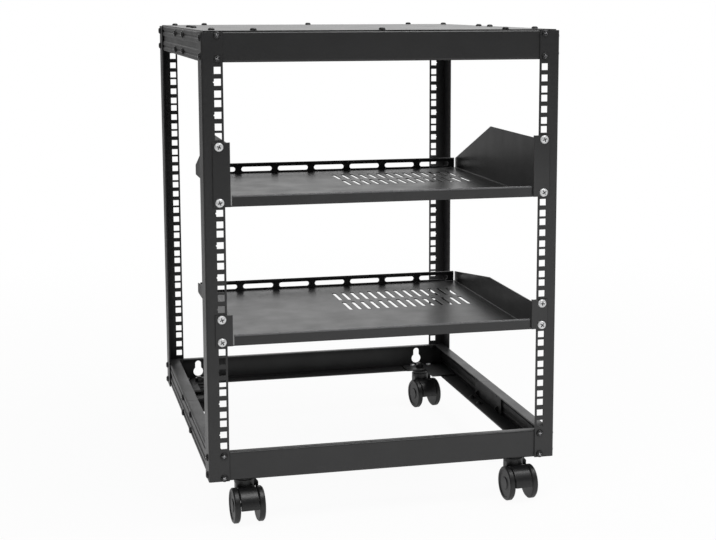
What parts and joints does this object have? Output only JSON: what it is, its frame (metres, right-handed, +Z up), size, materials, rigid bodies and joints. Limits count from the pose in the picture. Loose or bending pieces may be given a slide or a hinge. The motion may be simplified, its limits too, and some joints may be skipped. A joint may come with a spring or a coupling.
{
  "type": "four post open frame rack",
  "caption": "Open frame equipment rack with four square-hole posts, a top panel, two fixed shelves and swivelling twin-wheel casters.",
  "frame": {"origin": "on the floor, midway between the four posts", "axes": "+X to the right of someone facing the front, +Y to the back, +Z up"},
  "size_m": [0.508, 0.5993, 0.6879],
  "materials": {
    "frame_paint": "satin",
    "shelf_paint": "satin",
    "stem_steel": "satin",
    "hood_plastic": "satin",
    "wheel_plastic": "satin"
  },
  "bodies": {
    "frame": {"beam_front_bottom": "frame_paint", "beam_front_top": "frame_paint", "beam_rear_bottom": "frame_paint", "beam_rear_top": "frame_paint", "caster_front_left_stem": "stem_steel", "caster_front_right_stem": "stem_steel", "caster_rear_left_stem": "stem_steel", "caster_rear_right_stem": "stem_steel", "corner_plate_front_left": "frame_paint", "corner_plate_front_right": "frame_paint", "corner_plate_rear_left": "frame_paint", "corner_plate_rear_right": "frame_paint", "post_front_left": "frame_paint", "post_front_right": "frame_paint", "post_rear_left": "frame_paint", "post_rear_right": "frame_paint", "rail_bottom_left_front": "frame_paint", "rail_bottom_left_rear": "frame_paint", "rail_bottom_right_front": "frame_paint", "rail_bottom_right_rear": "frame_paint", "rail_top_left_front": "frame_paint", "rail_top_left_rear": "frame_paint", "rail_top_right_front": "frame_paint", "rail_top_right_rear": "frame_paint", "shelf_lower": "shelf_paint", "shelf_upper": "shelf_paint", "splice_bottom_left": "frame_paint", "splice_bottom_right": "frame_paint", "splice_top_left": "frame_paint", "splice_top_right": "frame_paint", "top_panel": "frame_paint"},
    "caster_front_left": {"caster_front_left_hood": "hood_plastic"},
    "caster_front_left_wheel_left": {"caster_front_left_wheel_left": "wheel_plastic"},
    "caster_front_left_wheel_right": {"caster_front_left_wheel_right": "wheel_plastic"},
    "caster_front_right": {"caster_front_right_hood": "hood_plastic"},
    "caster_front_right_wheel_left": {"caster_front_right_wheel_left": "wheel_plastic"},
    "caster_front_right_wheel_right": {"caster_front_right_wheel_right": "wheel_plastic"},
    "caster_rear_left": {"caster_rear_left_hood": "hood_plastic"},
    "caster_rear_left_wheel_left": {"caster_rear_left_wheel_left": "wheel_plastic"},
    "caster_rear_left_wheel_right": {"caster_rear_left_wheel_right": "wheel_plastic"},
    "caster_rear_right": {"caster_rear_right_hood": "hood_plastic"},
    "caster_rear_right_wheel_left": {"caster_rear_right_wheel_left": "wheel_plastic"},
    "caster_rear_right_wheel_right": {"caster_rear_right_wheel_right": "wheel_plastic"}
  },
  "joints": [
    {"name": "caster_front_left_swivel", "type": "hinge", "parent": "frame", "child": "caster_front_left", "pos_m": [-0.201, -0.263, 0.0585], "axis": [0, 0, 1], "continuous": true},
    {"name": "caster_front_left_wheel_left_spin", "type": "hinge", "parent": "caster_front_left", "child": "caster_front_left_wheel_left", "pos_m": [-0.19995, -0.28297, 0.025], "axis": [0.9986, 0.0523, 0], "continuous": true},
    {"name": "caster_front_left_wheel_right_spin", "type": "hinge", "parent": "caster_front_left", "child": "caster_front_left_wheel_right", "pos_m": [-0.19995, -0.28297, 0.025], "axis": [0.9986, 0.0523, 0], "continuous": true},
    {"name": "caster_front_right_swivel", "type": "hinge", "parent": "frame", "child": "caster_front_right", "pos_m": [0.201, -0.263, 0.0585], "axis": [0, 0, 1], "continuous": true},
    {"name": "caster_front_right_wheel_left_spin", "type": "hinge", "parent": "caster_front_right", "child": "caster_front_right_wheel_left", "pos_m": [0.20239, -0.28295, 0.025], "axis": [0.9976, 0.0698, 0], "continuous": true},
    {"name": "caster_front_right_wheel_right_spin", "type": "hinge", "parent": "caster_front_right", "child": "caster_front_right_wheel_right", "pos_m": [0.20239, -0.28295, 0.025], "axis": [0.9976, 0.0698, 0], "continuous": true},
    {"name": "caster_rear_left_swivel", "type": "hinge", "parent": "frame", "child": "caster_rear_left", "pos_m": [-0.201, 0.263, 0.0585], "axis": [0, 0, 1], "continuous": true},
    {"name": "caster_rear_left_wheel_left_spin", "type": "hinge", "parent": "caster_rear_left", "child": "caster_rear_left_wheel_left", "pos_m": [-0.19891, 0.24311, 0.025], "axis": [0.9945, 0.1045, 0], "continuous": true},
    {"name": "caster_rear_left_wheel_right_spin", "type": "hinge", "parent": "caster_rear_left", "child": "caster_rear_left_wheel_right", "pos_m": [-0.19891, 0.24311, 0.025], "axis": [0.9945, 0.1045, 0], "continuous": true},
    {"name": "caster_rear_right_swivel", "type": "hinge", "parent": "frame", "child": "caster_rear_right", "pos_m": [0.201, 0.263, 0.0585], "axis": [0, 0, 1], "continuous": true},
    {"name": "caster_rear_right_wheel_left_spin", "type": "hinge", "parent": "caster_rear_right", "child": "caster_rear_right_wheel_left", "pos_m": [0.20413, 0.24325, 0.025], "axis": [0.9877, 0.1564, 0], "continuous": true},
    {"name": "caster_rear_right_wheel_right_spin", "type": "hinge", "parent": "caster_rear_right", "child": "caster_rear_right_wheel_right", "pos_m": [0.20413, 0.24325, 0.025], "axis": [0.9877, 0.1564, 0], "continuous": true}
  ]
}
